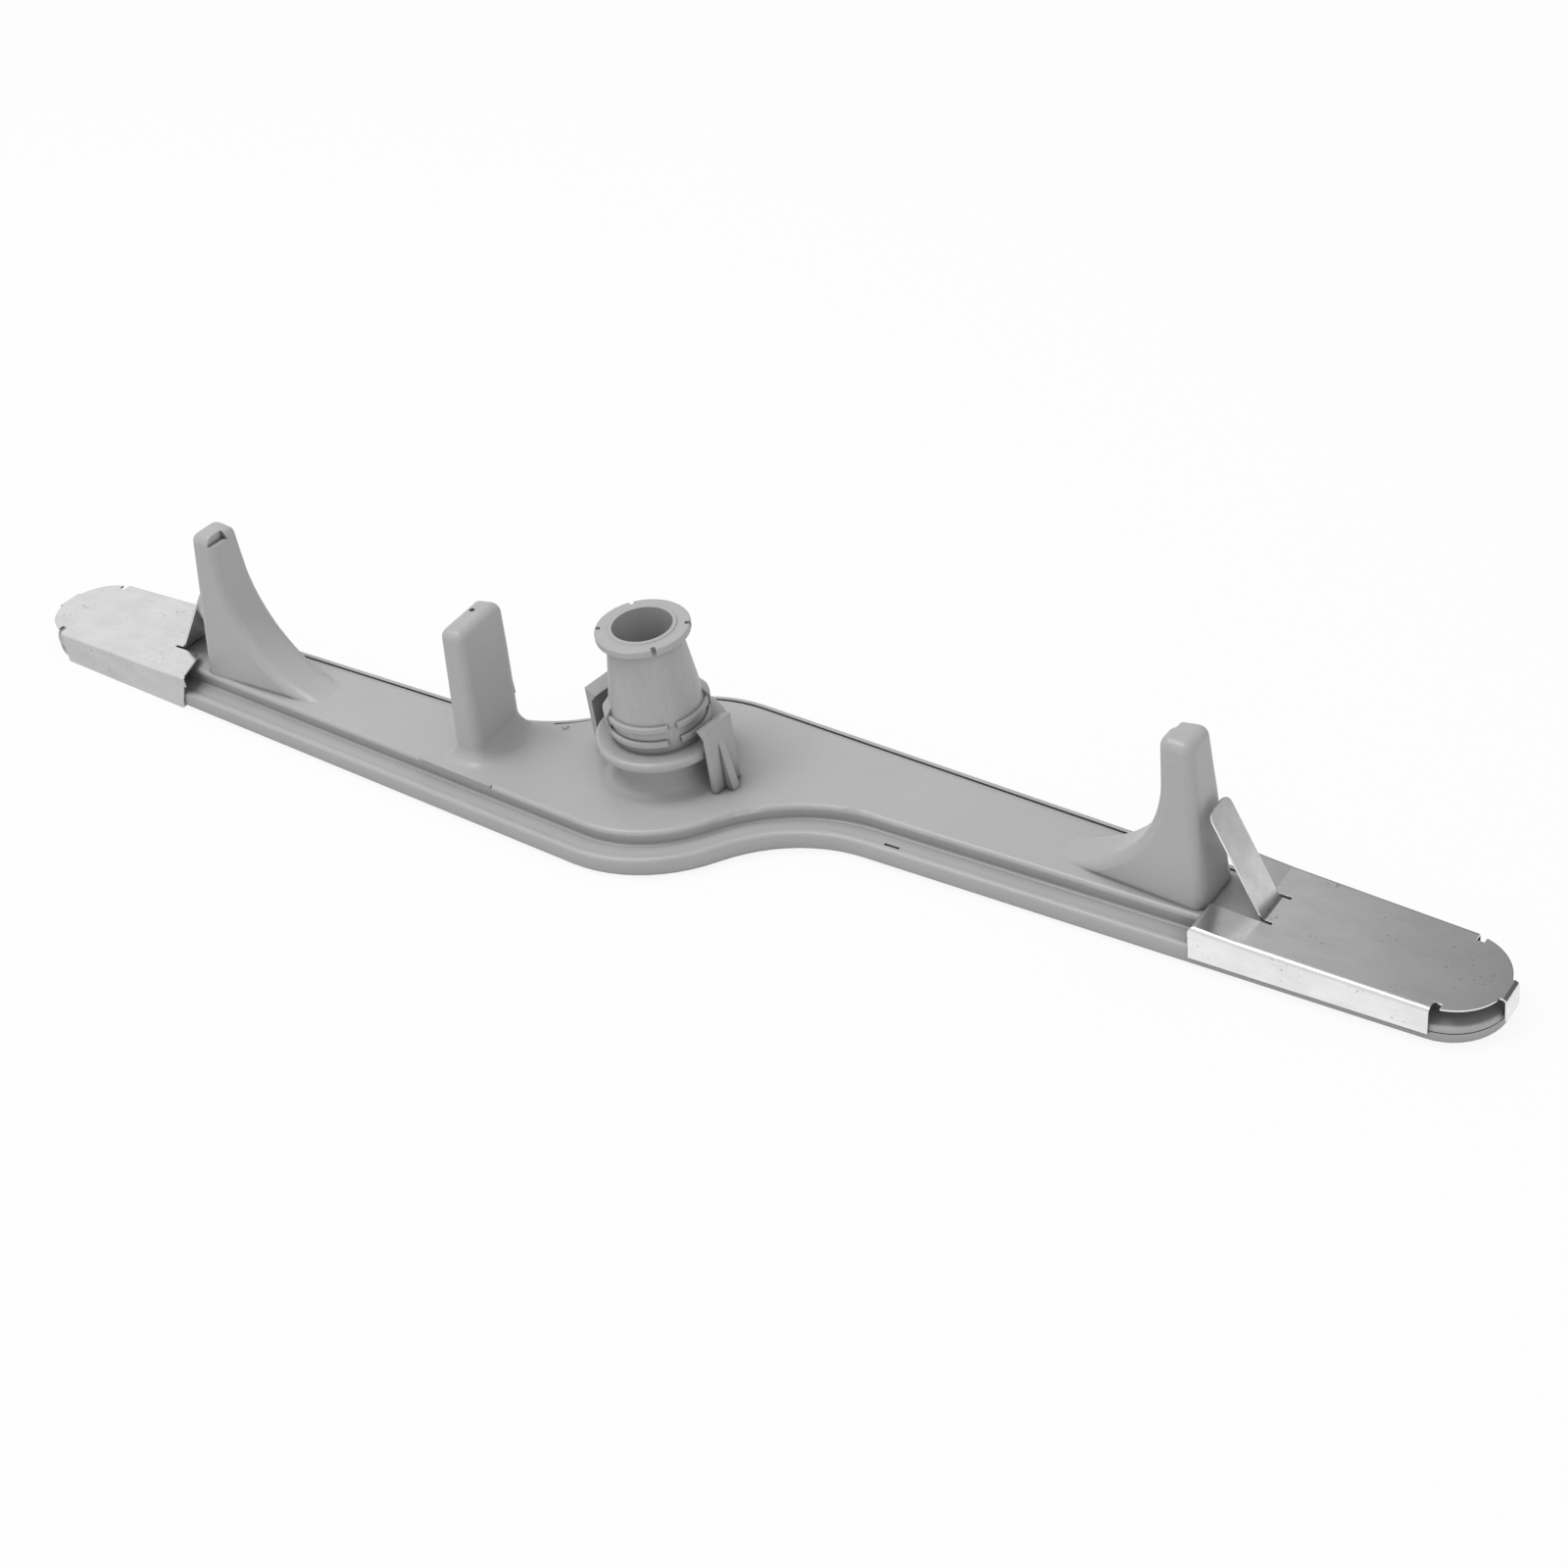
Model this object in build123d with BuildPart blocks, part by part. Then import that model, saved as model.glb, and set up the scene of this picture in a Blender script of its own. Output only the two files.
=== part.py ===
from build123d import *
import os
from math import atan2, cos, degrees, hypot, radians, sin, sqrt, tan

# Dishwasher spray arm: a two-part moulded arm with hollow spray towers, a turning inlet spout held by
# two snap hooks, and a folded steel cover clipped over each end. Millimetres, +Z up, X along the arm.
# The origin is on the hub axis at the lowest face, which is the folded lip of the covers.

# Plan outline of the arm. It looks the same after half a turn about the hub axis.
arm_length = 458.6
tip_r = 14.4              # round end of each wing
hub_r = 40.05             # bulge round the hub
hub_shift = (-3.2, 2.0)   # centre of the front bulge arc
neck_r = 40.5             # hollow curve where the bulge runs into the narrow wing edge
narrow_edge_angle = 3.09  # turn of the narrow wing edge from the X axis

# Lower shell
rim_h = 5.6               # side of the arm up to the rounded rim
rim_round = 1.0
belly_round = 1.2
floor_t = 2.0
rim_land = 1.7            # rim from its outside to the seam
ledge_w = 2.6             # shelf that carries the upper shell
jet_r = 1.1               # round jets in the underside
jet_places = (96.0, 186.0)

# Upper shell
seam_gap = 0.3
flange_t = 2.0
flange_drop = 0.4         # flange top below the rim
lap_run = 6.0             # under the covers the flange lies over the rim, from this far before the tip
lap_round = 0.8
wall_inset = 6.7          # foot of the raised deck, in from the outline
wall_t = 1.9
deck_h = 9.5              # deck above the underside of the arm
deck_round = 1.3
deck_foot_round = 0.7
seam_slot_x = 71.0        # small slot in the seam of the narrow edge
seam_slot_l = 4.5
seam_slot_w = 0.9
pip_place = (-36.5, 3.0)
pip_r = 1.0
pip_h = 0.5
pip_taper = 30.0

# Spray towers at the wing ends, in the frame of the wing
tower_from_tip = 72.9     # outer foot, in from the end of the arm
tower_h = 56.5
tower_foot_w = 17.0
tower_top_w = 11.6
tower_top_l = 8.9
tower_plan_taper = 0.05   # the sides close in toward the hub
tower_foot_shift = 0.6
tower_top_shift = -0.8
sweep_r = 34.4            # concave run from the tower down to the deck
sweep_sink = 0.4          # the run ends a little below the deck
tower_round = 2.8
lean_right = 3.3          # outer face leans in by this at the top
lean_left = 6.5
notch_l = 4.2             # nozzle notch in the top
notch_wall = 1.3
notch_depth = 5.6
notch_right = (-0.4, 8.0)     # across the tower, from its middle: open at the back
notch_left = (-4.9, 0.4)      # a pocket with a thin back wall
nozzle_r = 0.9

# Middle tower
blade_foot = (-53.9, -9.6)
blade_top = (-52.5, -6.6)
blade_h = 49.6
blade_foot_size = (8.8, 20.4)
blade_top_size = (8.0, 19.6)
blade_round = 2.6
blade_foot_round = 4.5
blade_jet = (-53.6, -4.5)
blade_jet_r = 0.8

# Inlet spout
bore_r = 8.1
bore_straight = 18.0
neck_bore_r = 10.0
neck_r_out = 11.7
spout_top = 54.2
top_flange_r = 12.7
top_flange_t = 2.2
flange_round = 0.5
lip_w = 0.9
lip_h = 0.35
cone_top_r = 9.8
cone_foot_r = 12.9
cone_foot_z = 30.2
ridge_levels = (30.0, 25.4)
ridge_gaps = (11.0, 16.0)
ridge_gap_turn = -38.7
ridge_w = 1.7
ridge_out = 1.0
ridge_root = 0.5          # depth of its foot in the cone
lug_turn = 42.0
lug_arc = 26.0
lug_out = 1.5
lug_top = 34.6
lug_shoulder = 30.6
lug_foot = 27.6
notch_turns = (-43.0, 27.0, 137.0, 207.0)
flange_notch_w = 1.2
flange_notch_d = 1.5
ring_r = 18.05
ring_t = 3.0
ring_z = 19.0             # underside of the bearing ring
ring_round = 1.2
run_clearance = 0.05      # radial, neck in socket
ring_gap = 0.3            # under the ring
hook_gap = 1.3            # beside the ring

# Inlet socket and snap hooks of the upper shell
socket_wall = 1.9
socket_flare = 4.0
hook_w = 9.6
hook_turn = -10.0         # the right hook is turned to the front, the left one to the back
hook_shift = 1.3          # along its own flat leg
hook_t = 1.7
hook_h = 30.5
hook_reach = 2.0
hook_lip_h = 1.6
hook_catch_h = 26.4
gusset_w = 2.3
gusset_foot = 3.0
gusset_h = 24.5

# Steel end covers, placed in the frame of the wing
sheet_t = 0.5
cover_gap = 0.1           # between the sheet and the moulding
bend_r = 0.9              # inside radius of the folds
cover_l = 72.5            # short flange, from its hub end to the end of the arm
cover_back_l = 67.3       # long flange, the same way
crease_from_tip = 60.9    # the strips beside the window rise more steeply from here
cover_slope = 1.5
strip_slope = 3.5
short_flange_h = 2.7      # bottom of the short flange above the underside of the arm
under_lip_w = 4.0
tip_inset = 0.6           # round end of the plate, in from the outline
flange_past = 1.2         # the flanges run past the start of the round end by this
flange_slant = 4.0        # hub end of the long flange, cut back toward its foot
relief_w = 2.0
relief_d = 1.3
strip_corner = 3.0
tongue_from_tip = 59.0    # fold of the tongue
tongue_w = 9.4
tongue_l = 30.2
tongue_rise_right = 63.0
tongue_rise_left = 55.0   # bent further down than the right one
tongue_shift = -0.5
tongue_corner = 2.6
tongue_bend = 1.2
window_gap = 0.9          # beside the tongue
fold_relief = 3.0
tab_w = 7.1
tab_shift = -0.25
tab_lean = 0.3
tab_bend = 0.6

tiny = 0.01               # tolerance when faces and edges are picked out
margin = 1.0              # cutting blocks reach past the solid by this

# Worked out from the sizes above
tip_x = arm_length / 2 - tip_r
tower_x = arm_length / 2 - tower_from_tip
cover_start = arm_length / 2 - cover_l
cover_back_start = arm_length / 2 - cover_back_l
strip_crease = arm_length / 2 - crease_from_tip
tongue_x = arm_length / 2 - tongue_from_tip
seam_inset = rim_land + seam_gap
flange_top = rim_h - flange_drop
ledge_h = flange_top - flange_t
channel_inset = wall_inset + wall_t
channel_top = deck_h - wall_t
deck_edge = wall_inset + deck_round
ledge_inset = rim_land + ledge_w
lap_x = tip_x - lap_run
socket_bore_r = neck_r_out + run_clearance
socket_r = socket_bore_r + socket_wall
socket_top = ring_z - ring_gap
hook_x = ring_r + hook_gap
neck_end = channel_top
tab_x = arm_length / 2 + cover_gap         # inner face of the tab
roof_x = arm_length / 2 - deck_edge       # the covers rest on the deck here
roof_h = deck_h + cover_gap + sheet_t


def level(height: float) -> Plane:
    """The level plane at a height above the underside of the moulded arm."""
    return Plane.XY.offset(sheet_t + height)


def turned(plane: Plane, angle: float) -> Plane:
    """The same plane turned about the hub axis."""
    return Plane(
        origin=plane.origin.rotate(Axis.Z, angle),
        x_dir=plane.x_dir.rotate(Axis.Z, angle),
        z_dir=plane.z_dir.rotate(Axis.Z, angle),
    )


# Plan geometry
# The wide edge is the outer tangent of the tip circle and the bulge, the narrow edge touches the tip
# circle at its own angle, and the neck arc touches both the bulge and the narrow edge.
hub_c = Vector(*hub_shift)
tip_c = Vector(tip_x, 0)
span = hub_c + tip_c
span_angle = degrees(atan2(span.Y, span.X))
wide_edge_angle = degrees(atan2(hub_r - tip_r, hypot(span.X, span.Y))) - span_angle
wide_normal = Vector(0, -1).rotate(Axis.Z, -wide_edge_angle)
narrow_normal = Vector(0, -1).rotate(Axis.Z, -narrow_edge_angle)
narrow_run = Vector(1, 0).rotate(Axis.Z, -narrow_edge_angle)
neck_start = tip_c + narrow_normal * (tip_r + neck_r) - hub_c
neck_along = neck_start.dot(narrow_run)
neck_aside = neck_start.dot(narrow_normal)
neck_step = sqrt((hub_r + neck_r) ** 2 - neck_aside ** 2) - neck_along
neck_c = hub_c + neck_start + narrow_run * neck_step
wing_angle = (wide_edge_angle + narrow_edge_angle) / 2

# Frame of the right wing: its x runs out along the middle line of the wing and reaches tip_x at the tip.
wing_dir = Vector(1, 0).rotate(Axis.Z, -wing_angle)
wing = Plane(origin=tip_c - wing_dir * tip_x, x_dir=wing_dir, z_dir=(0, 0, 1))


def outline(inset: float):
    """Draw the plan outline, moved inward by inset, in the open line builder."""
    tip = tip_r - inset
    bulge = hub_r - inset
    neck = neck_r + inset
    neck_turn = (neck_c - hub_c).normalized()
    start = -tip_c + wide_normal * tip
    bulge_in = hub_c + wide_normal * bulge
    bulge_out = hub_c + neck_turn * bulge
    bulge_mid = hub_c + (wide_normal + neck_turn).normalized() * bulge
    neck_out = neck_c - narrow_normal * neck
    neck_mid = neck_c - (neck_turn + narrow_normal).normalized() * neck
    edge_out = tip_c + narrow_normal * tip
    tip_mid = tip_c + wing_dir * tip
    for side in (1, -1):
        Line(start * side, bulge_in * side)
        ThreePointArc(bulge_in * side, bulge_mid * side, bulge_out * side)
        ThreePointArc(bulge_out * side, neck_mid * side, neck_out * side)
        Line(neck_out * side, edge_out * side)
        ThreePointArc(edge_out * side, tip_mid * side, start * -side)


def edge_y(normal: Vector, x: float, inset: float) -> float:
    """Y of a long edge of the right wing at x, moved inward by inset."""
    return (normal.X * tip_x + tip_r - inset - normal.X * x) / normal.Y


def narrow_y(x: float, inset: float = 0) -> float:
    return edge_y(narrow_normal, x, inset)


def wide_y(x: float, inset: float = 0) -> float:
    return edge_y(-wide_normal, x, inset)


def above(plane: Plane, height: float) -> Plane:
    """A plane of the same directions, raised above the underside of the moulded arm."""
    return Plane(origin=plane.origin + Vector(0, 0, sheet_t + height), x_dir=plane.x_dir, z_dir=plane.z_dir)


def upright(plane: Plane) -> Plane:
    """The upright plane along the x direction of a level frame, with its y up from the arm's underside."""
    return Plane(origin=plane.origin + Vector(0, 0, sheet_t), x_dir=plane.x_dir, z_dir=-plane.y_dir)


# Lower shell: tray with a rounded rim, a ledge for the upper shell and four jets.
with BuildPart() as lower_shell:
    with BuildSketch(level(0)):
        with BuildLine():
            outline(0)
        make_face()
    extrude(amount=rim_h)
    fillet(lower_shell.faces().sort_by(Axis.Z)[-1].outer_wire().edges(), radius=rim_round)
    fillet(lower_shell.faces().sort_by(Axis.Z)[0].outer_wire().edges(), radius=belly_round)
    with BuildSketch(level(ledge_h)):
        with BuildLine():
            outline(rim_land)
        make_face()
    extrude(amount=rim_h - ledge_h, mode=Mode.SUBTRACT)
    with BuildSketch(level(floor_t)):
        with BuildLine():
            outline(ledge_inset)
        make_face()
    extrude(amount=ledge_h - floor_t, mode=Mode.SUBTRACT)
    for angle in (0, 180):
        with BuildSketch(above(turned(wing, angle), ledge_h)):
            with Locations((lap_x, 0)):
                Rectangle(3 * tip_r, 3 * tip_r, align=(Align.MIN, Align.CENTER))
        extrude(amount=rim_h - ledge_h + margin, mode=Mode.SUBTRACT)
        with BuildSketch(turned(wing, angle)):
            with Locations(*[(x, 0) for x in jet_places]):
                Circle(jet_r)
        extrude(amount=sheet_t + floor_t, mode=Mode.SUBTRACT)
lower_shell.part.label = "lower_shell"


def end_tower(lean: float, angle: float) -> Part:
    """A tower at a wing end: flat sides that close in, and a concave sweep down to the deck."""
    frame = turned(wing, angle)
    root = channel_top + wall_t / 4
    top_out = tower_x - lean
    top_in = top_out - tower_top_l
    sweep_foot = deck_h - sweep_sink
    sweep_end = top_in - sweep_r
    with BuildPart() as tower:
        with BuildSketch(upright(frame)):
            with BuildLine():
                Polyline(
                    (sweep_end, sweep_foot), (sweep_end, root), (tower_x, root),
                    (top_out, tower_h), (top_in, tower_h), (top_in, sweep_foot + sweep_r),
                )
                RadiusArc((top_in, sweep_foot + sweep_r), (sweep_end, sweep_foot), sweep_r)
            make_face()
        extrude(amount=tower_foot_w, both=True)
        for height, width, shift in (
            (root, tower_foot_w, tower_foot_shift), (tower_h, tower_top_w, tower_top_shift),
        ):
            outer_half = width / 2
            inner_half = outer_half - (tower_x - sweep_end) * tower_plan_taper
            with BuildSketch(above(frame, height)):
                Polygon(
                    (tower_x + margin, shift - outer_half), (tower_x + margin, shift + outer_half),
                    (sweep_end, shift + inner_half), (sweep_end, shift - inner_half), align=None,
                )
        loft(ruled=True, mode=Mode.INTERSECT)
        corners = tower.edges().filter_by(lambda edge: edge.center().Z > sheet_t + deck_h + tower_round)
        fillet(corners, radius=tower_round)
    return tower.part


def tower_duct(lean: float, angle: float, span: tuple) -> Part:
    """The water way inside an end tower, from the channel to the nozzle notch."""
    frame = turned(wing, angle)
    top = tower_h - notch_depth - wall_t / 2
    top_in = tower_x - lean - tower_top_l + wall_t
    jet_y = (span[0] + min(span[1], tower_top_w / 2 - 2 * nozzle_r)) / 2
    with BuildPart() as duct:
        for height, outer, width, shift in (
            (channel_top - wall_t / 2, tower_x - wall_t, tower_foot_w / 2, tower_foot_shift),
            (top, tower_x - lean - wall_t, tower_top_w - 2 * tower_round, tower_top_shift),
        ):
            with BuildSketch(above(frame, height)):
                with Locations(((top_in + outer) / 2, shift)):
                    Rectangle(outer - top_in, width)
        loft(ruled=True)
        with BuildSketch(above(frame, top)):
            with Locations((top_in - wall_t + notch_wall + notch_l / 2, tower_top_shift + jet_y)):
                Circle(nozzle_r)
        extrude(amount=tower_h - top)
    return duct.part


def nozzle_notch(lean: float, angle: float, span: tuple) -> Part:
    """Block that opens the nozzle in the top of an end tower, over a span across the tower."""
    frame = turned(wing, angle)
    near = tower_x - lean - tower_top_l + notch_wall
    with BuildPart() as notch:
        with BuildSketch(above(frame, tower_h - notch_depth)):
            with Locations((near, tower_top_shift + span[0])):
                Rectangle(notch_l, span[1] - span[0], align=(Align.MIN, Align.MIN))
        extrude(amount=notch_depth + margin)
    return notch.part


# Middle tower: an upright blade, rounded all round, that flares into the deck and stops at its wall.
with BuildPart() as blade:
    with BuildSketch(level(deck_h - wall_t)):
        with Locations(blade_foot):
            Rectangle(blade_foot_size[0] + 4 * blade_foot_round, blade_foot_size[1] + 4 * blade_foot_round)
    extrude(amount=wall_t)
    for height, centre, size in (
        (deck_h - wall_t / 2, blade_foot, blade_foot_size),
        (blade_h, blade_top, blade_top_size),
    ):
        with BuildSketch(level(height)):
            with Locations(centre):
                Rectangle(*size)
    loft(ruled=True)
    fillet(blade.edges().filter_by(lambda edge: edge.center().Z > sheet_t + deck_h + margin), radius=blade_round)
    foot_edges = blade.edges().filter_by(
        lambda edge: abs(edge.center().Z - sheet_t - deck_h) < tiny
        and abs(edge.center().X - blade_foot[0]) < blade_foot_size[0] / 2 + margin
        and abs(edge.center().Y - blade_foot[1]) < blade_foot_size[1] / 2 + margin
    )
    fillet(foot_edges, radius=blade_foot_round)
    with BuildSketch(level(deck_h - wall_t)):
        with BuildLine():
            outline(wall_inset)
        make_face()
    extrude(amount=blade_h, mode=Mode.INTERSECT)

with BuildPart() as blade_duct:
    for height, centre, size in (
        (channel_top - wall_t / 2, blade_foot, blade_foot_size),
        (blade_h - wall_t, blade_top, blade_top_size),
    ):
        with BuildSketch(level(height)):
            with Locations(centre):
                Rectangle(size[0] - 2 * wall_t, size[1] - 2 * wall_t)
    loft(ruled=True)
    with BuildSketch(level(blade_h - 2 * wall_t)):
        with Locations(blade_jet):
            Circle(blade_jet_r)
    extrude(amount=2 * wall_t + margin)

# Snap hook on the right of the hub: a flat leg, a barb over the bearing ring and a gusset behind it.
axial = upright(Plane.XY)
hook_plane = turned(axial, hook_turn).offset(-hook_shift)
with BuildPart() as hook:
    with BuildSketch(hook_plane):
        Polygon(
            (hook_x, deck_h - wall_t / 2), (hook_x, hook_catch_h),
            (hook_x - hook_reach, hook_h - hook_lip_h), (hook_x + hook_t, hook_h),
            (hook_x + hook_t, deck_h - wall_t / 2), align=None,
        )
    extrude(amount=hook_w / 2, both=True)
    with BuildSketch(hook_plane):
        Polygon(
            (hook_x + hook_t / 2, deck_h - wall_t / 2), (hook_x + hook_t / 2, gusset_h),
            (hook_x + hook_t, gusset_h), (hook_x + hook_t + gusset_foot, deck_h),
            (hook_x + hook_t + gusset_foot, deck_h - wall_t / 2), align=None,
        )
    extrude(amount=gusset_w / 2, both=True)

# Tip lap: under a cover the flange of the upper shell reaches out over the rim of the lower shell.
with BuildPart() as tip_lap:
    with BuildSketch(level(ledge_h + seam_gap)):
        with BuildLine():
            outline(0)
        make_face()
    extrude(amount=flange_t - seam_gap)
    fillet(tip_lap.faces().sort_by(Axis.Z)[-1].outer_wire().edges(), radius=lap_round)
    with BuildSketch(wing):
        with Locations((lap_x + seam_gap, 0)):
            Rectangle(3 * tip_r, 3 * tip_r, align=(Align.MIN, Align.CENTER))
    extrude(amount=2 * rim_h, mode=Mode.INTERSECT)

# Upper shell: flange in the seam, raised deck over the water channel, towers, socket and hooks.
with BuildPart() as upper_shell:
    with BuildSketch(level(ledge_h)):
        with BuildLine():
            outline(seam_inset)
        make_face()
    extrude(amount=flange_t)
    with BuildSketch(level(ledge_h)):
        with BuildLine():
            outline(wall_inset)
        make_face()
    extrude(amount=deck_h - ledge_h)
    fillet(upper_shell.faces().sort_by(Axis.Z)[-1].outer_wire().edges(), radius=deck_round)
    flange_face = upper_shell.faces().filter_by(lambda face: abs(face.center().Z - sheet_t - flange_top) < tiny)
    fillet(flange_face[0].inner_wires()[0].edges(), radius=deck_foot_round)
    add(blade.part)
    with BuildSketch(level(channel_top)):
        Circle(socket_r)
    extrude(amount=socket_top - channel_top)
    flare_edge = upper_shell.edges().filter_by(GeomType.CIRCLE).filter_by(
        lambda edge: abs(edge.radius - socket_r) < tiny and abs(edge.center().Z - sheet_t - deck_h) < tiny
    )
    fillet(flare_edge, radius=socket_flare)
    for lean, angle in ((lean_right, 0), (lean_left, 180)):
        add(end_tower(lean, angle))
        with Locations(Location((0, 0, 0), (0, 0, angle))):
            add(hook.part)
            add(tip_lap.part)
    with BuildSketch(level(ledge_h)):
        with BuildLine():
            outline(channel_inset)
        make_face()
    extrude(amount=channel_top - ledge_h, mode=Mode.SUBTRACT)
    with BuildSketch(level(channel_top)):
        Circle(socket_bore_r)
    extrude(amount=socket_top - channel_top, mode=Mode.SUBTRACT)
    add(blade_duct.part, mode=Mode.SUBTRACT)
    for lean, angle, span in ((lean_right, 0, notch_right), (lean_left, 180, notch_left)):
        add(tower_duct(lean, angle, span), mode=Mode.SUBTRACT)
        add(nozzle_notch(lean, angle, span), mode=Mode.SUBTRACT)
    with BuildSketch(level(deck_h)):
        with Locations(pip_place):
            Circle(pip_r)
    extrude(amount=pip_h, taper=pip_taper)
    with BuildSketch(level(flange_top - seam_slot_w)):
        with Locations(Location((seam_slot_x, narrow_y(seam_slot_x, seam_inset), 0), (0, 0, -narrow_edge_angle))):
            Rectangle(seam_slot_l, 2 * seam_slot_w)
    extrude(amount=seam_slot_w, mode=Mode.SUBTRACT)
upper_shell.part.label = "upper_shell"


def ring_piece(profile, start: float, arc: float):
    """Turn a profile, given as (radius, height) points, through an arc about the hub axis."""
    with BuildSketch(turned(axial, start)) as section:
        Polygon(*profile, align=None)
    revolve(section.sketch, axis=Axis.Z, revolution_arc=arc)


# Inlet spout: notched flange, cone, broken ridges, two lugs and the bearing ring over the neck.
with BuildPart() as inlet_spout:
    ring_top = ring_z + ring_t
    flange_foot = spout_top - top_flange_t
    with BuildSketch(axial):
        Polygon(
            (bore_r, spout_top + lip_h), (bore_r + lip_w, spout_top + lip_h), (bore_r + lip_w + lip_h, spout_top),
            (top_flange_r, spout_top), (top_flange_r, flange_foot), (cone_top_r, flange_foot),
            (cone_foot_r, cone_foot_z), (cone_foot_r, ring_top), (ring_r, ring_top), (ring_r, ring_z),
            (neck_r_out, ring_z), (neck_r_out, neck_end), (neck_bore_r, neck_end),
            (neck_bore_r, cone_foot_z), (bore_r, spout_top - bore_straight), align=None,
        )
    revolve(axis=Axis.Z)
    rims = inlet_spout.edges().filter_by(GeomType.CIRCLE)
    fillet(rims.filter_by(lambda edge: abs(edge.radius - ring_r) < tiny), radius=ring_round)
    fillet(rims.filter_by(lambda edge: abs(edge.radius - top_flange_r) < tiny), radius=flange_round)
    for height, gap in zip(ridge_levels, ridge_gaps):
        low = height - ridge_w / 2
        high = height + ridge_w / 2
        ridge_r = cone_foot_r + ridge_out
        for turn in (ridge_gap_turn, ridge_gap_turn + 180):
            ring_piece(
                ((cone_foot_r - ridge_root, low), (ridge_r, low), (ridge_r, high - ridge_out / 2),
                 (ridge_r - ridge_out / 2, high), (cone_foot_r - ridge_root, high)),
                turn + gap / 2, 180 - gap,
            )
    lug_r = cone_foot_r + lug_out
    for turn in (lug_turn, lug_turn + 180):
        ring_piece(
            ((cone_top_r, lug_foot), (lug_r, lug_foot), (lug_r, lug_shoulder), (cone_top_r + lug_out, lug_top),
             (cone_top_r, lug_top)),
            turn - lug_arc / 2, lug_arc,
        )
    for turn in notch_turns:
        with BuildSketch(level(flange_foot)):
            with Locations(Location((0, 0, 0), (0, 0, turn))):
                with Locations((top_flange_r, 0)):
                    Rectangle(2 * flange_notch_d, flange_notch_w)
        extrude(amount=top_flange_t, mode=Mode.SUBTRACT)
inlet_spout.part.label = "inlet_spout"


def cover_roof(x: float) -> float:
    """Height of the top of a cover above the underside of the arm, at x in the frame of the wing."""
    if x > strip_crease:
        return roof_h + (roof_x - x) * tan(radians(cover_slope))
    return cover_roof(strip_crease + tiny) + (strip_crease - x) * tan(radians(strip_slope))


def cover_block(start: float, grow: float, drop: float, foot: float, bend: float) -> Part:
    """A wing-shaped block under a cover's roof, grown past the outline, with its long top edges rounded."""
    end = arm_length / 2 + tip_r
    with BuildPart() as block:
        with BuildSketch(upright(wing)):
            Polygon(
                (start, foot), (start, cover_roof(start) - drop), (strip_crease, cover_roof(strip_crease) - drop),
                (end, cover_roof(end) - drop), (end, foot), align=None,
            )
        extrude(amount=2 * tip_r, both=True)
        with BuildSketch(level(foot)):
            with BuildLine():
                outline(-grow)
            make_face()
        extrude(amount=2 * roof_h, mode=Mode.INTERSECT)
        roof_edges = block.faces().sort_by(Axis.Z)[-2:].edges().filter_by(
            lambda edge: edge.length > 2 * tip_r or edge.geom_type != GeomType.LINE
            or abs((edge @ 0).Y - (edge @ 1).Y) < tip_r
        )
        fillet(roof_edges, radius=bend)
    return block.part


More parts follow.
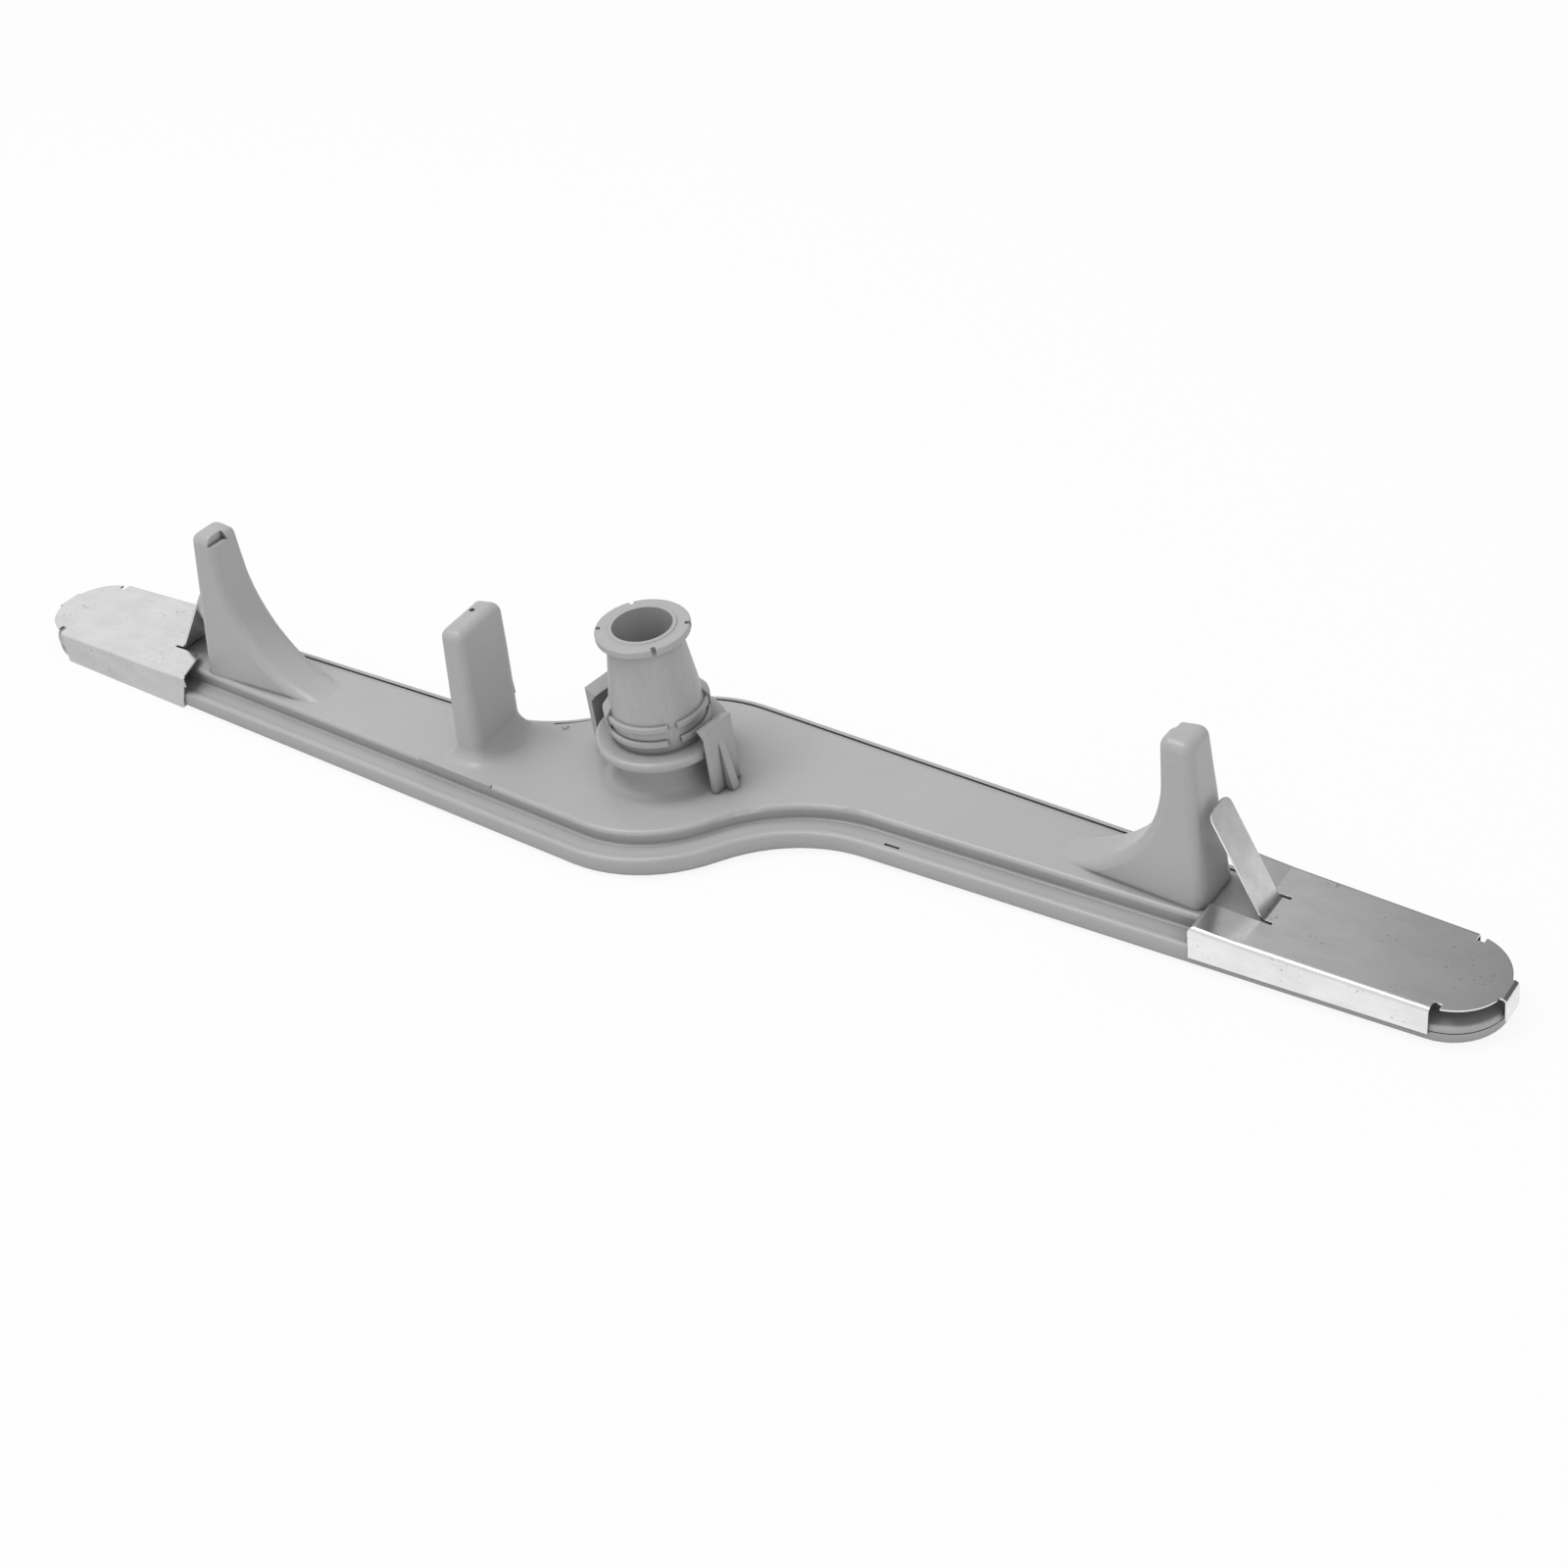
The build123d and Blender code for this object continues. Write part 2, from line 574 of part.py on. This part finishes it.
def end_cover(rise: float) -> Part:
    """A folded sheet with a long and a short flange, a window, a tongue bent up by rise and a tip tab."""
    with BuildPart() as cover:
        add(cover_block(cover_start, cover_gap + sheet_t, 0, -sheet_t, bend_r + sheet_t))
        add(cover_block(cover_start - tip_r, cover_gap, sheet_t, 0, bend_r), mode=Mode.SUBTRACT)
        with BuildSketch(Plane.XY):
            Polygon(
                (cover_start - tip_r, narrow_y(cover_start - tip_r, -tip_r)), (tip_x + tip_r, narrow_y(tip_x, -tip_r)),
                (tip_x + tip_r, wide_y(tip_x + tip_r, under_lip_w)),
                (cover_start - tip_r, wide_y(cover_start - tip_r, under_lip_w)), align=None,
            )
        extrude(amount=sheet_t + short_flange_h, mode=Mode.SUBTRACT)
        window_near = tongue_shift - tongue_w / 2 - window_gap
        window_far = tongue_shift + tongue_w / 2 + window_gap
        with BuildSketch(wing):
            with BuildLine():
                corner = (cover_back_start, window_far)
                edge_end = (cover_back_start - flange_slant * (2 * tip_r - window_far) / (tip_r - window_far), 2 * tip_r)
                FilletPolyline(
                    (tongue_x, window_far), corner, edge_end, radius=strip_corner,
                )
                Polyline(
                    edge_end, (cover_start - tip_r, 2 * tip_r), (cover_start - tip_r, window_near),
                    (tongue_x + fold_relief, window_near), (tongue_x + fold_relief, window_near + window_gap),
                    (tongue_x, window_near + window_gap), (tongue_x, window_far - window_gap),
                    (tongue_x + fold_relief, window_far - window_gap), (tongue_x + fold_relief, window_far),
                    (tongue_x, window_far),
                )
            make_face()
        extrude(amount=2 * roof_h, mode=Mode.SUBTRACT)
        with BuildSketch(upright(wing)):
            Polygon(
                (cover_back_start, -sheet_t), (cover_back_start - flange_slant, deck_h - bend_r),
                (cover_start - tip_r, deck_h - bend_r), (cover_start - tip_r, -sheet_t), align=None,
            )
        extrude(amount=-2 * tip_r, mode=Mode.SUBTRACT)
        with BuildSketch(wing):
            with Locations((tip_x + flange_past, 0)):
                Rectangle(2 * tip_r, 4 * tip_r, align=(Align.MIN, Align.CENTER))
            with Locations((tip_x, 0)):
                Circle(tip_r - tip_inset, mode=Mode.SUBTRACT)
            with Locations(*[(tip_x + flange_past, side * (tip_r - relief_d)) for side in (1, -1)]):
                Rectangle(relief_w, 2 * relief_d, align=(Align.MIN, Align.CENTER))
        extrude(amount=2 * roof_h, mode=Mode.SUBTRACT)
        with BuildSketch(upright(wing).offset(-tongue_shift)):
            with BuildLine():
                under = cover_roof(tongue_x) - sheet_t
                FilletPolyline(
                    (tongue_x + tongue_bend, cover_roof(tongue_x + tongue_bend) - sheet_t), (tongue_x, under),
                    (tongue_x - tongue_l * cos(radians(rise)), under + tongue_l * sin(radians(rise))),
                    radius=tongue_bend + sheet_t,
                )
                offset(amount=sheet_t, side=Side.RIGHT)
            make_face()
        extrude(amount=tongue_w / 2, both=True)
        sheet_edges = cover.edges().filter_by(lambda edge: abs(edge.length - sheet_t) < tiny)
        fillet(sheet_edges.sort_by(Axis.Z)[-2:], radius=tongue_corner)
        with BuildSketch(upright(wing).offset(-tab_shift)):
            with BuildLine():
                tab_under = cover_roof(tab_x) - sheet_t
                tab_root = tab_x - 3 * tab_bend
                FilletPolyline(
                    (tab_root, cover_roof(tab_root) - sheet_t), (tab_x, tab_under),
                    (tab_x + tab_lean, ledge_h + seam_gap), radius=tab_bend,
                )
                offset(amount=sheet_t, side=Side.LEFT)
            make_face()
        extrude(amount=tab_w / 2, both=True)
    return cover.part


# End covers: the same sheet, turned by half a turn on the left, each with its tongue bent by hand.
with BuildPart() as end_cover_right:
    add(end_cover(tongue_rise_right))
end_cover_right.part.label = "end_cover_right"

with BuildPart() as end_cover_left:
    with Locations(Location((0, 0, 0), (0, 0, 180))):
        add(end_cover(tongue_rise_left))
end_cover_left.part.label = "end_cover_left"

os.makedirs("parts", exist_ok=True)
for piece in (lower_shell, upper_shell, inlet_spout, end_cover_right, end_cover_left):
    export_step(piece.part, f"parts/{piece.part.label}.step")
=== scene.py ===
"""Looks of the dishwasher spray arm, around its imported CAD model.

The arm is satin grey moulded plastic with folded, finely brushed steel covers on its ends. The solids
carry nearly the whole shape. One visual piece replaces the upper shell: the same surface, with the tops of
its two end towers made anew and the back of its middle tower closed. Metres, +Z up.
"""
import math

import bmesh
import bpy
from mathutils import Matrix, Vector


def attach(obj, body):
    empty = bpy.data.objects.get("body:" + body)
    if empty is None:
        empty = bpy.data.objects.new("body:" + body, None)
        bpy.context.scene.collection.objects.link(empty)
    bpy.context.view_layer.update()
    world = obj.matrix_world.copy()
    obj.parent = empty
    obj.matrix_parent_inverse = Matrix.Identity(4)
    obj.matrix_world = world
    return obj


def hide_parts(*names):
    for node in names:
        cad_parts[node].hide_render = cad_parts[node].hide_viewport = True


# Camera, fitted to the outline of the object in the photograph
CAMERA_AT = (0.33137, -0.40318, 0.38694)
CAMERA_RIGHT = (0.85244, 0.50821, -0.12272)
CAMERA_UP = (-0.22523, 0.56880, 0.79103)
CAMERA_AHEAD = (-0.47182, 0.64667, -0.59934)
LENS_MM = 54.55
SENSOR_MM = 36.0
CLIP_NEAR = 0.01
CLIP_FAR = 20.0

# Colours, linear
PLASTIC = 0.44
SPOUT_PLASTIC = 0.43
STEEL = 0.84

# Materials
PLASTIC_ROUGHNESS = 0.34
PLASTIC_IOR = 1.47
STEEL_ROUGHNESS = 0.20
EDGE_SAMPLES = 6
EDGE_RADIUS = 0.00012                    # softening of moulded edges
SHEET_EDGE_RADIUS = 0.00010
EDGE_PAINTED_HIGHLIGHT = 1.22                        # painted highlight: moulded edges are made paler by this
CREVICE_SAMPLES = 8
# Painted shade: the plastic's colour is darkened in seams, crevices and inner corners, where shade falls
SEAM_SHADE_REACH = 0.0012                      # how far the painted shade of a seam or a crevice reaches
CORNER_SHADE_REACH = 0.010                     # and that of the painted shade in an inner corner
CORNER_PAINTED_SHADE = 0.5
SPECK_DARK = 0.6                         # a speck on the steel keeps this share of its light

# Nozzle notch of an end tower: it opens the top of the tower toward the hub and to one side.
# The right tower is side 1 and the left tower side -1.
SIDES = (1, -1)
WING_TURN = math.radians(-4.728)         # right wing, from the X axis
WING_START = (0.00073, 0.01771)          # the wing's own frame starts here
TOWER_CUT = 0.0508                       # the top of the tower is made anew above this
TOWER_BEYOND = 0.1                       # only the end towers are this far from the hub
NOTCH_INNER = 0.138                      # along the wing, well out of the tower
NOTCH_OUTER = {1: 0.1462, -1: 0.1430}
NOTCH_SIDE = {1: -0.0002, -1: -0.0016}   # across the wing
NOTCH_FLOOR = 0.0544
NOTCH_REACH = 0.02                       # the cutting block is this wide and this high
FLAT_ANGLE = math.radians(1.0)           # faces of the new top that turn less than this are joined
SHARP_ANGLE = math.radians(30.0)         # an edge of the new top that turns more than this is sharp

# Opening in the hidden back of the middle tower, closed here because the real one has none
BACK_OPENING_X = (-0.0558, -0.0497)
BACK_OPENING_Z = (0.020, 0.0486)
BACK_Y = -0.002                          # the wall lies behind this
BACK_FACING = 0.9                        # and its faces look this much to the back
BACK_SKIN = 0.00002                      # the new wall lies this far in from the old one
MICRON_DIGITS = 6                        # points this close, in decimals of a metre, are one

# Studio
FLOOR_HALF = 4.0
FLOOR_DROP = 0.0002                      # the floor lies just under the lowest face
FLOOR_GLOW = 0.9                         # share of the floor's white that no shadow reaches
FLOOR_WHITE = 0.86
HORIZON = 0.45                           # light from the sides
ZENITH = 0.70                            # and from above
CARD_WAY = (-0.9, -0.25)                 # X and Y of the side that the pale card stands on
CARD_DARK = 0.13                         # what the steel mirrors away from the card
CARD_PALE = 0.82                         # and toward it
LAMP_AIM = (0.0, 0.0, 0.02)
KEY_AT = (-0.5, -0.2, 1.4)
KEY_SIZE = 0.7
KEY_WATTS = 9.0
FILL_AT = (0.9, -0.7, 0.9)
FILL_SIZE = 0.8
FILL_WATTS = 2.0


class Graph:
    """A small helper that adds shader nodes to a tree and joins them up."""

    def __init__(self, tree):
        self.tree = tree
        tree.nodes.clear()

    def add(self, kind, settings=None, **inputs):
        """Add a node; inputs are values or other sockets, named as on the node with _ for a blank."""
        node = self.tree.nodes.new(kind)
        for name, value in (settings or {}).items():
            setattr(node, name, value)
        for name, value in inputs.items():
            key = int(name[1:]) if name[1:].isdigit() else name.replace("_", " ")
            self.feed(node.inputs[key], value)
        return node

    def feed(self, socket, value):
        """Link a socket to an input, or write a value there."""
        if isinstance(value, bpy.types.NodeSocket):
            self.tree.links.new(value, socket)
        else:
            socket.default_value = value

    def math(self, operation, *values, clamp=False):
        """A math node's result."""
        node = self.add("ShaderNodeMath", {"operation": operation, "use_clamp": clamp})
        for socket, value in zip(node.inputs, values):
            self.feed(socket, value)
        return node.outputs[0]

    def noise(self, at, scale, detail=2.0, roughness=0.5):
        """A noise texture's factor."""
        node = self.add("ShaderNodeTexNoise", Vector=at, Scale=scale, Detail=detail, Roughness=roughness)
        return node.outputs["Fac"]

    def spread(self, value, low, high, start=0.0, end=1.0):
        """Map a value from low..high to start..end, clamped."""
        limits = {"From_Min": low, "From_Max": high, "To_Min": start, "To_Max": end}
        return self.add("ShaderNodeMapRange", Value=value, **limits).outputs[0]

    def open_air(self, reach):
        """1 on an open surface, less in a crevice, looked at over a reach."""
        node = self.add("ShaderNodeAmbientOcclusion", {"samples": CREVICE_SAMPLES}, Distance=reach)
        return node.outputs["AO"]

    def soft_edges(self, radius):
        """The surface's normal, with its edges rounded by a radius."""
        return self.add("ShaderNodeBevel", {"samples": EDGE_SAMPLES}, Radius=radius).outputs[0]

    def grey(self, value):
        """The same value in all three colour channels."""
        return self.add("ShaderNodeCombineColor", Red=value, Green=value, Blue=value).outputs[0]

    def stretched(self, at, scale):
        """A coordinate scaled by another amount along each axis."""
        return self.add("ShaderNodeMapping", Vector=at, Scale=scale).outputs[0]


def new_material(name):
    """An empty node material and its graph."""
    material = bpy.data.materials.new(name)
    material.use_nodes = True
    return material, Graph(material.node_tree)


def moulded_plastic(name, tone, seam_painted_shade, streaks):
    """Satin moulded plastic: fine grain, faint unevenness of tone and gloss, painted shade in seams and inner
    corners, a painted highlight on soft edges.
    """
    material, g = new_material(name)
    at = g.add("ShaderNodeTexCoord").outputs["Object"]
    clouds = g.noise(at, 45.0, detail=3.0)
    mottle = g.noise(at, 700.0, detail=2.0)
    grain = g.noise(at, 5200.0, detail=2.0, roughness=0.6)
    sink = g.noise(at, 110.0, detail=1.0)
    level = g.math("ADD", g.spread(clouds, 0.3, 0.7, tone * 0.975, tone * 1.02),
                   g.spread(mottle, 0.3, 0.7, -0.006, 0.006))
    drawn = g.noise(g.stretched(at, (1600.0, 1600.0, 30.0)), 1.0, detail=2.0)
    level = g.math("ADD", level, g.spread(drawn, 0.3, 0.7, -streaks, streaks))
    # Painted shade: the colour is darkened in seams and crevices, then in inner corners
    level = g.math("MULTIPLY", level, g.spread(g.open_air(SEAM_SHADE_REACH), 0.45, 0.93, seam_painted_shade, 1.0))
    level = g.math("MULTIPLY", level, g.spread(g.open_air(CORNER_SHADE_REACH), 0.3, 0.8, CORNER_PAINTED_SHADE, 1.0))
    gloss = g.math("ADD", g.spread(clouds, 0.3, 0.7, PLASTIC_ROUGHNESS - 0.04, PLASTIC_ROUGHNESS + 0.04),
                   g.spread(grain, 0.3, 0.7, -0.03, 0.03))
    edges = g.soft_edges(EDGE_RADIUS)
    flat = g.add("ShaderNodeNewGeometry").outputs["Normal"]
    turn = g.add("ShaderNodeVectorMath", {"operation": "DOT_PRODUCT"}, i0=edges, i1=flat).outputs["Value"]
    # Painted highlight: the colour is made paler where the rounded edge's normal turns from the flat one
    level = g.math("MULTIPLY", level, g.spread(turn, 0.99, 0.75, 1.0, EDGE_PAINTED_HIGHLIGHT))
    waves = g.add("ShaderNodeBump", Strength=0.12, Distance=0.0004, Height=sink, Normal=edges).outputs[0]
    skin = g.add("ShaderNodeBump", Strength=0.16, Distance=0.00003, Height=grain, Normal=waves).outputs[0]
    surface = g.add("ShaderNodeBsdfPrincipled", Base_Color=g.grey(level), Roughness=gloss, Normal=skin)
    surface.inputs["IOR"].default_value = PLASTIC_IOR
    g.add("ShaderNodeOutputMaterial", Surface=surface.outputs[0])
    return material


def brushed_steel(name):
    """Stainless sheet: fine brushing along the wing, soft smudges and a few small dark specks of scale."""
    material, g = new_material(name)
    at = g.add("ShaderNodeTexCoord").outputs["Object"]
    lines = g.noise(g.stretched(at, (60.0, 5200.0, 5200.0)), 1.0, detail=3.0, roughness=0.6)
    fine = g.noise(g.stretched(at, (220.0, 14000.0, 14000.0)), 1.0, detail=2.0)
    smudge = g.noise(g.stretched(at, (90.0, 160.0, 160.0)), 1.0, detail=4.0, roughness=0.6)
    film = g.noise(at, 30.0, detail=2.0)
    speck = g.noise(at, 900.0, detail=1.0)
    patch = g.noise(at, 120.0, detail=1.0)
    dark = g.math("MULTIPLY", g.spread(speck, 0.66, 0.74), g.spread(patch, 0.5, 0.62))
    level = g.math("ADD", g.spread(lines, 0.3, 0.7, STEEL * 0.965, STEEL * 1.03),
                   g.spread(smudge, 0.35, 0.7, 0.02, -0.07))
    level = g.math("MULTIPLY", level, g.spread(dark, 0.0, 1.0, 1.0, SPECK_DARK))
    haze = g.math("ADD", g.spread(fine, 0.3, 0.7, -0.03, 0.03), g.spread(smudge, 0.4, 0.7, 0.0, 0.06))
    gloss = g.math("ADD", g.spread(film, 0.3, 0.7, STEEL_ROUGHNESS - 0.04, STEEL_ROUGHNESS + 0.05), haze)
    edges = g.soft_edges(SHEET_EDGE_RADIUS)
    wave = g.add("ShaderNodeBump", Strength=0.10, Distance=0.0006, Height=film, Normal=edges).outputs[0]
    brush = g.add("ShaderNodeBump", Strength=0.10, Distance=0.00002, Height=lines, Normal=wave).outputs[0]
    surface = g.add("ShaderNodeBsdfPrincipled", Base_Color=g.grey(level), Roughness=gloss, Normal=brush)
    surface.inputs["Metallic"].default_value = 1.0
    g.add("ShaderNodeOutputMaterial", Surface=surface.outputs[0])
    return material


def add_object(name, data):
    """A new object of a name and its data, in the scene."""
    made = bpy.data.objects.new(name, data)
    bpy.context.scene.collection.objects.link(made)
    return made


def mesh_of(form, name):
    """A mesh with the shape of a bmesh, which is then freed."""
    mesh = bpy.data.meshes.new(name)
    form.to_mesh(mesh)
    form.free()
    return mesh


def vertices(parts):
    """Only the vertices among some parts of a bmesh."""
    return [part for part in parts if isinstance(part, bmesh.types.BMVert)]


def notch_block(side):
    """The block that cuts the nozzle notch of the end tower on one side."""
    plan = []
    for x, y in ((NOTCH_INNER, NOTCH_SIDE[side]), (NOTCH_OUTER[side], NOTCH_SIDE[side]),
                 (NOTCH_OUTER[side], NOTCH_REACH), (NOTCH_INNER, NOTCH_REACH)):
        along = Vector((x, y)) @ Matrix.Rotation(WING_TURN, 2).transposed()
        plan.append(side * (along + Vector(WING_START)))
    corners = [(p.x, p.y, z) for z in (NOTCH_FLOOR, NOTCH_FLOOR + NOTCH_REACH) for p in plan]
    sides = [(i, (i + 1) % 4, (i + 1) % 4 + 4, i + 4) for i in range(4)]
    mesh = bpy.data.meshes.new("notch")
    mesh.from_pydata(corners, [], [(3, 2, 1, 0), (4, 5, 6, 7), *sides])
    return add_object("notch", mesh)


def tower_top(points, side):
    """A new tower top: the hull of the old one's points, with its nozzle notch cut in."""
    form = bmesh.new()
    for point in points:
        form.verts.new(point)
    hull = bmesh.ops.convex_hull(form, input=form.verts)
    bmesh.ops.delete(form, geom=list(dict.fromkeys(vertices(hull["geom_interior"]))), context="VERTS")
    bmesh.ops.dissolve_limit(form, angle_limit=FLAT_ANGLE, verts=form.verts, edges=form.edges)
    top = add_object("tower_top", mesh_of(form, "tower_top"))
    cutter = notch_block(side)
    cut = top.modifiers.new("notch", "BOOLEAN")
    cut.operation = "DIFFERENCE"
    cut.solver = "EXACT"
    cut.object = cutter
    graph = bpy.context.evaluated_depsgraph_get()
    shaped = bpy.data.meshes.new_from_object(top.evaluated_get(graph))
    for used in (top, cutter):
        bpy.data.objects.remove(used)
    return shaped


def close_back(form):
    """Close the opening that the water way leaves in the back wall of the middle tower."""
    low_x, high_x = BACK_OPENING_X
    low_z, high_z = BACK_OPENING_Z
    wall = sorted({(round(v.co.x, MICRON_DIGITS), round(v.co.y - BACK_SKIN, MICRON_DIGITS))
                   for f in form.faces if f.normal.y > BACK_FACING for v in f.verts
                   if low_x < v.co.x < high_x and v.co.y > BACK_Y and low_z < v.co.z < high_z})
    lower = [form.verts.new((x, y, low_z)) for x, y in wall]
    upper = [form.verts.new((x, y, high_z)) for x, y in wall]
    for i in range(len(wall) - 1):
        form.faces.new((lower[i + 1], lower[i], upper[i], upper[i + 1])).smooth = True


def cut_tower(form, side):
    """Cut off the top of the end tower on one side, and give the points that it had."""
    parts = {}
    for face in form.faces:
        beyond = all(side * v.co.x > TOWER_BEYOND for v in face.verts)
        if beyond and any(v.co.z > TOWER_CUT for v in face.verts):
            parts.update(dict.fromkeys((face, *face.verts, *face.edges)))
    points = [tuple(v.co) for v in form.verts if side * v.co.x > TOWER_BEYOND and v.co.z > TOWER_CUT]
    cut = bmesh.ops.bisect_plane(form, geom=list(parts), plane_co=(0, 0, TOWER_CUT), plane_no=(0, 0, 1),
                                 clear_outer=True)
    return points + [tuple(v.co) for v in vertices(cut["geom_cut"])]


def shaped_shell(cad_shell, material):
    """The upper shell as the photograph shows it: the CAD's own surface, with new tops on the end towers."""
    form = bmesh.new()
    form.from_mesh(cad_shell.data)
    close_back(form)
    tops = [tower_top(cut_tower(form, side), side) for side in SIDES]
    first = len(form.faces)
    for top in tops:
        form.from_mesh(top)
    form.faces.ensure_lookup_table()
    for face in form.faces[first:]:
        face.smooth = True
        for edge in face.edges:
            edge.smooth = edge.calc_face_angle(math.pi) < SHARP_ANGLE
    shell = add_object("upper_shell_shaped", mesh_of(form, "upper_shell_shaped"))
    shell.data.materials.clear()
    shell.data.materials.append(material)
    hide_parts("upper_shell")
    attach(shell, "arm")


def seen_directly(g):
    """1 for camera, glossy and transmission rays, and the node that tells the rays apart."""
    path = g.add("ShaderNodeLightPath")
    both = g.math("MAXIMUM", path.outputs["Is Camera Ray"], path.outputs["Is Glossy Ray"])
    return g.math("MAXIMUM", both, path.outputs["Is Transmission Ray"]), path


def studio_world():
    """White to the camera, a soft grey light on the object, and a pale card on its left to mirror."""
    world = bpy.data.worlds.new("studio")
    bpy.context.scene.world = world
    world.use_nodes = True
    g = Graph(world.node_tree)
    way = g.add("ShaderNodeTexCoord").outputs["Generated"]
    parts = g.add("ShaderNodeSeparateXYZ", Vector=way).outputs
    card_x, card_y = CARD_WAY
    side = g.math("ADD", g.math("MULTIPLY", parts["X"], card_x), g.math("MULTIPLY", parts["Y"], card_y))
    card = g.spread(side, -0.13, 0.2, CARD_DARK, CARD_PALE)
    dome = g.spread(parts["Z"], 0.0, 0.9, HORIZON, ZENITH)
    seen, path = seen_directly(g)
    glossy = path.outputs["Is Glossy Ray"]
    lit = g.add("ShaderNodeMix", {"data_type": "FLOAT"}, i0=seen, i2=dome, i3=1.0).outputs[0]
    level = g.add("ShaderNodeMix", {"data_type": "FLOAT"}, i0=glossy, i2=lit, i3=card).outputs[0]
    back = g.add("ShaderNodeBackground", Color=g.grey(1.0), Strength=level)
    g.add("ShaderNodeOutputWorld", Surface=back.outputs[0])


def studio_floor():
    """A white floor that keeps a faint shadow. The steel mirrors it greyer behind the arm and at the left."""
    half = FLOOR_HALF
    low = -FLOOR_DROP
    mesh = bpy.data.meshes.new("floor")
    mesh.from_pydata([(-half, -half, low), (half, -half, low), (half, half, low), (-half, half, low)], [],
                     [(0, 1, 2, 3)])
    floor = add_object("floor", mesh)
    material, g = new_material("floor_white")
    seen, path = seen_directly(g)
    paint = g.add("ShaderNodeBsdfDiffuse", Color=(FLOOR_WHITE, FLOOR_WHITE, FLOOR_WHITE, 1.0))
    place = g.add("ShaderNodeSeparateXYZ", Vector=g.add("ShaderNodeNewGeometry").outputs["Position"]).outputs
    glossy = path.outputs["Is Glossy Ray"]
    behind = g.math("MULTIPLY", glossy, g.spread(place["Y"], 0.0, 0.3, 0.0, 0.55))
    left = g.math("MULTIPLY", glossy, g.spread(place["X"], -0.16, 0.1, 0.42, 0.0))
    shade = g.math("MAXIMUM", behind, left)
    glow = g.add("ShaderNodeEmission", Color=(1.0, 1.0, 1.0, 1.0), Strength=g.math("SUBTRACT", 1.0, shade))
    mix = g.add("ShaderNodeMixShader", Fac=g.math("MULTIPLY", seen, FLOOR_GLOW))
    g.tree.links.new(paint.outputs[0], mix.inputs[1])
    g.tree.links.new(glow.outputs[0], mix.inputs[2])
    g.add("ShaderNodeOutputMaterial", Surface=mix.outputs[0])
    mesh.materials.append(material)


def softbox(name, at, size, watts):
    """A square area lamp at a point, aimed at the arm."""
    lamp = bpy.data.lights.new(name, "AREA")
    lamp.shape = "SQUARE"
    lamp.size = size
    lamp.energy = watts
    box = add_object(name, lamp)
    box.location = at
    box.rotation_mode = "QUATERNION"
    box.rotation_quaternion = (Vector(LAMP_AIM) - Vector(at)).to_track_quat("-Z", "Y")


def photo_camera():
    """The camera at the photograph's viewing angle."""
    data = bpy.data.cameras.new("camera")
    data.lens = LENS_MM
    data.sensor_width = SENSOR_MM
    data.clip_start = CLIP_NEAR
    data.clip_end = CLIP_FAR
    camera = add_object("camera", data)
    turn = Matrix((CAMERA_RIGHT, CAMERA_UP, -Vector(CAMERA_AHEAD))).transposed()
    camera.matrix_world = Matrix.Translation(CAMERA_AT) @ turn.to_4x4()
    bpy.context.scene.camera = camera


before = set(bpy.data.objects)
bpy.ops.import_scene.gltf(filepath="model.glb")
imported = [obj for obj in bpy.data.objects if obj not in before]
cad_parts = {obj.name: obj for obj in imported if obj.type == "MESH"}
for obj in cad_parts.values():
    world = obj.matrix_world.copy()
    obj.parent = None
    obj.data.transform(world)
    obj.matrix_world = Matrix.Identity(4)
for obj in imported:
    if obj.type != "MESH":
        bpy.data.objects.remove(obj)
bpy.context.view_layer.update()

arm_plastic = moulded_plastic("arm_plastic", PLASTIC, seam_painted_shade=0.5, streaks=0.004)
spout_plastic = moulded_plastic("spout_plastic", SPOUT_PLASTIC, seam_painted_shade=0.7, streaks=0.016)
cover_steel = brushed_steel("cover_steel")
finishes = {
    "lower_shell": arm_plastic,
    "upper_shell": arm_plastic,
    "inlet_spout": spout_plastic,
    "end_cover_right": cover_steel,
    "end_cover_left": cover_steel,
}
shaped_shell(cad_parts["upper_shell"], arm_plastic)
for node, material in finishes.items():
    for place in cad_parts[node].material_slots:
        place.link = "OBJECT"
        place.material = material

studio_world()
studio_floor()
softbox("key", KEY_AT, KEY_SIZE, KEY_WATTS)
softbox("fill", FILL_AT, FILL_SIZE, FILL_WATTS)
photo_camera()
bpy.context.scene.view_settings.view_transform = "Standard"
